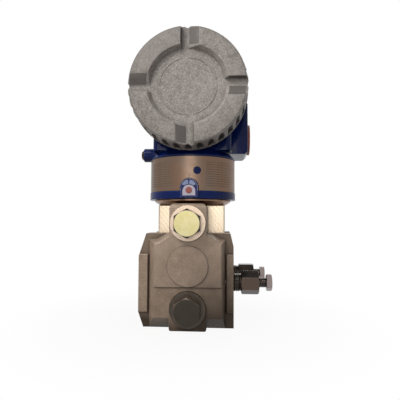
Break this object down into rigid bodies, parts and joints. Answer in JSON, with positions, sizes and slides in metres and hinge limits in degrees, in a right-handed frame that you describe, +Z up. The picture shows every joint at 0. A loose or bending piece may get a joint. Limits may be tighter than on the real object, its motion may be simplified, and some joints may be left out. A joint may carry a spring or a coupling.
{
  "type": "differential pressure transmitter",
  "caption": "Industrial transmitter: sensor block between bolted process covers with vents, a neck, and a two-compartment housing with screwed covers.",
  "frame": {"origin": "on the plane the process covers and sensor block stand on, below the clamping bolts and midway between the two process covers", "axes": "+Z up, -Y towards the front cover, +X towards the vent screws"},
  "size_m": [0.1095, 0.1168, 0.2279],
  "materials": {
    "machined_steel": "milled, satin",
    "cast_steel": "cast and blasted, dull",
    "vent_steel": "turned, satin",
    "plated_steel": "zinc plated, bright",
    "seal_rubber": "matt",
    "black_plastic": "moulded, satin",
    "blue_paint": "glossy baked paint with orange peel",
    "white_plastic": "moulded, gloss",
    "orange_plastic": "moulded, gloss",
    "plate_steel": "brushed, wrapped sheet",
    "cast_aluminium": "grey textured cast finish",
    "red_plastic": "moulded, gloss"
  },
  "bodies": {
    "process_body": {"sensor_body": "machined_steel", "measuring_cell": "machined_steel", "front_diaphragm": "machined_steel", "rear_diaphragm": "machined_steel", "front_process_cover": "cast_steel", "rear_process_cover": "cast_steel", "front_gasket": "white_plastic", "rear_gasket": "white_plastic", "front_vent_plug": "vent_steel", "rear_vent_plug": "vent_steel", "cover_bolts": "plated_steel", "cover_washers": "plated_steel", "cover_nuts": "plated_steel", "sensor_neck": "machined_steel", "neck_seal": "seal_rubber", "sensor_lead": "black_plastic"},
    "topworks": {"housing": "blue_paint", "button_bezel": "white_plastic", "data_plate": "plate_steel", "electronics_module": "black_plastic", "module_screws": "plated_steel", "terminal_block": "black_plastic", "terminal_screws": "plated_steel", "terminal_fixings": "plated_steel", "feedthrough": "black_plastic", "earth_washer": "plated_steel", "earth_screw": "plated_steel"},
    "front_seal_slide": {"front_cover_seal": "seal_rubber"},
    "front_cover_turn": {"front_cover": "cast_aluminium"},
    "rear_seal_slide": {"rear_cover_seal": "seal_rubber"},
    "rear_cover_turn": {"rear_cover": "cast_aluminium"},
    "zero_button": {"zero_button": "orange_plastic"},
    "front_vent": {"front_vent_screw": "vent_steel"},
    "rear_vent": {"rear_vent_screw": "vent_steel"},
    "conduit_cap": {"conduit_cap": "red_plastic"}
  },
  "joints": [
    {"name": "housing_turn", "type": "hinge", "parent": "process_body", "child": "topworks", "pos_m": [0, 0, 0.1], "axis": [0, 0, 1], "range_deg": [-180, 180]},
    {"name": "front_cover_advance", "type": "slide", "parent": "topworks", "child": "front_seal_slide", "axis": [0, -1, 0], "range_m": [0, 0.0122]},
    {"name": "front_cover_unscrew", "type": "hinge", "parent": "front_seal_slide", "child": "front_cover_turn", "pos_m": [0, -0.035, 0.1823], "axis": [0, -1, 0], "range_deg": [0, 2160]},
    {"name": "rear_cover_advance", "type": "slide", "parent": "topworks", "child": "rear_seal_slide", "axis": [0, 1, 0], "range_m": [0, 0.0122]},
    {"name": "rear_cover_unscrew", "type": "hinge", "parent": "rear_seal_slide", "child": "rear_cover_turn", "pos_m": [0, 0.035, 0.1823], "axis": [0, 1, 0], "range_deg": [0, 2160]},
    {"name": "zero_press", "type": "slide", "parent": "topworks", "child": "zero_button", "axis": [0, 1, 0], "range_m": [0, 0.0012], "stiffness_N_per_m": 300},
    {"name": "front_vent_turn", "type": "hinge", "parent": "process_body", "child": "front_vent", "pos_m": [0.06, -0.027, 0.034], "axis": [1, 0, 0], "range_deg": [0, 720]},
    {"name": "rear_vent_turn", "type": "hinge", "parent": "process_body", "child": "rear_vent", "pos_m": [0.06, 0.027, 0.034], "axis": [1, 0, 0], "range_deg": [0, 720]},
    {"name": "conduit_cap_pull", "type": "slide", "parent": "topworks", "child": "conduit_cap", "axis": [1, 0, 0], "range_m": [0, 0.016]}
  ],
  "couplings": [
    {"joint": "front_cover_advance", "follows": "front_cover_unscrew", "m_per_rad": 0.00031831},
    {"joint": "rear_cover_advance", "follows": "rear_cover_unscrew", "m_per_rad": 0.00031831}
  ]
}
